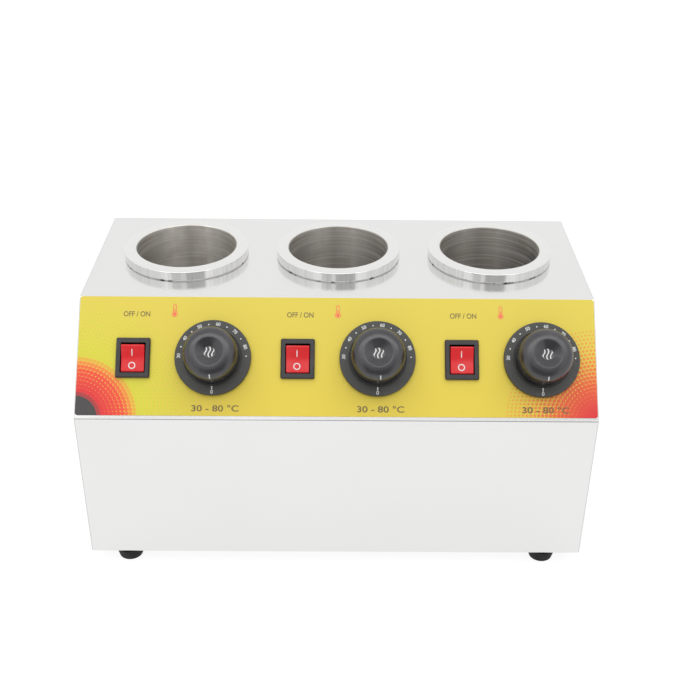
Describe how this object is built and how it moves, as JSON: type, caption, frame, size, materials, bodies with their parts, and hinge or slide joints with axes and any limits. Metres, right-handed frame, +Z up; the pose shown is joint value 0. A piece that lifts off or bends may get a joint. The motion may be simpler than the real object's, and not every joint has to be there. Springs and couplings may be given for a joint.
{
  "type": "sauce warmer",
  "caption": "Counter-top sauce warmer: steel casing with round heated wells in its top and a sloping panel of rocker switches and thermostat knobs.",
  "frame": {"origin": "on the bench, under the middle of the casing", "axes": "+Z up, front with the switches and knobs facing -Y, +X to the right seen from the front"},
  "size_m": [0.4, 0.222, 0.2223],
  "materials": {
    "casing_steel": "polished stainless sheet",
    "zinc_steel": "zinc plated",
    "foot_rubber": "matt",
    "well_metal": "turned, rim polished",
    "gasket_silicone": "matt",
    "heater_steel": "satin",
    "bulb_copper": "drawn copper",
    "overlay_print": "printed film, satin",
    "black_plastic": "satin",
    "red_plastic": "translucent, glossy",
    "cream_plastic": "matt",
    "dial_plastic": "satin",
    "knob_phenolic": "moulded, satin",
    "wire_sheath": "matt"
  },
  "bodies": {
    "root": {"casing": "casing_steel", "base_plate": "zinc_steel", "foot_front_left": "foot_rubber", "foot_front_right": "foot_rubber", "foot_rear_left": "foot_rubber", "foot_rear_right": "foot_rubber", "foot_screw_front_left": "zinc_steel", "foot_screw_front_right": "zinc_steel", "foot_screw_rear_left": "zinc_steel", "foot_screw_rear_right": "zinc_steel", "base_screw_front_left": "zinc_steel", "base_screw_front_right": "zinc_steel", "base_screw_rear_left": "zinc_steel", "base_screw_rear_right": "zinc_steel", "well_left": "well_metal", "well_middle": "well_metal", "well_right": "well_metal", "well_gasket_left": "gasket_silicone", "well_gasket_middle": "gasket_silicone", "well_gasket_right": "gasket_silicone", "well_clamp_left": "zinc_steel", "well_clamp_middle": "zinc_steel", "well_clamp_right": "zinc_steel", "heater_band_left": "heater_steel", "heater_band_middle": "heater_steel", "heater_band_right": "heater_steel", "sensor_bulb_left": "bulb_copper", "sensor_bulb_middle": "bulb_copper", "sensor_bulb_right": "bulb_copper", "control_overlay": "overlay_print", "switch_frame_left": "black_plastic", "switch_frame_middle": "black_plastic", "switch_frame_right": "black_plastic", "thermostat_left": "cream_plastic", "thermostat_middle": "cream_plastic", "thermostat_right": "cream_plastic", "dial_ring_left": "dial_plastic", "dial_ring_middle": "dial_plastic", "dial_ring_right": "dial_plastic", "gland_body": "black_plastic", "gland_cap": "black_plastic", "gland_seal": "foot_rubber", "gland_lock_nut": "black_plastic", "earth_stud": "zinc_steel", "earth_nut": "zinc_steel", "terminal_block": "cream_plastic", "wiring_loom": "wire_sheath"},
    "knob_left": {"knob_left": "knob_phenolic", "thermostat_shaft_left": "zinc_steel"},
    "knob_middle": {"knob_middle": "knob_phenolic", "thermostat_shaft_middle": "zinc_steel"},
    "knob_right": {"knob_right": "knob_phenolic", "thermostat_shaft_right": "zinc_steel"},
    "rocker_left": {"rocker_left": "red_plastic"},
    "rocker_middle": {"rocker_middle": "red_plastic"},
    "rocker_right": {"rocker_right": "red_plastic"}
  },
  "joints": [
    {"name": "knob_turn_left", "type": "hinge", "parent": "root", "child": "knob_left", "pos_m": [-0.0952, -0.07583, 0.17772], "axis": [0, 0.7544, -0.6564], "range_deg": [0, 268]},
    {"name": "knob_turn_middle", "type": "hinge", "parent": "root", "child": "knob_middle", "pos_m": [0.0308, -0.07583, 0.17772], "axis": [0, 0.7544, -0.6564], "range_deg": [0, 268]},
    {"name": "knob_turn_right", "type": "hinge", "parent": "root", "child": "knob_right", "pos_m": [0.1568, -0.07583, 0.17772], "axis": [0, 0.7544, -0.6564], "range_deg": [0, 268]},
    {"name": "rocker_tip_left", "type": "hinge", "parent": "root", "child": "rocker_left", "pos_m": [-0.1564, -0.07489, 0.17651], "axis": [-1, 0, 0], "range_deg": [0, 18]},
    {"name": "rocker_tip_middle", "type": "hinge", "parent": "root", "child": "rocker_middle", "pos_m": [-0.0304, -0.07489, 0.17651], "axis": [-1, 0, 0], "range_deg": [0, 18]},
    {"name": "rocker_tip_right", "type": "hinge", "parent": "root", "child": "rocker_right", "pos_m": [0.0956, -0.07489, 0.17651], "axis": [-1, 0, 0], "range_deg": [0, 18]}
  ]
}
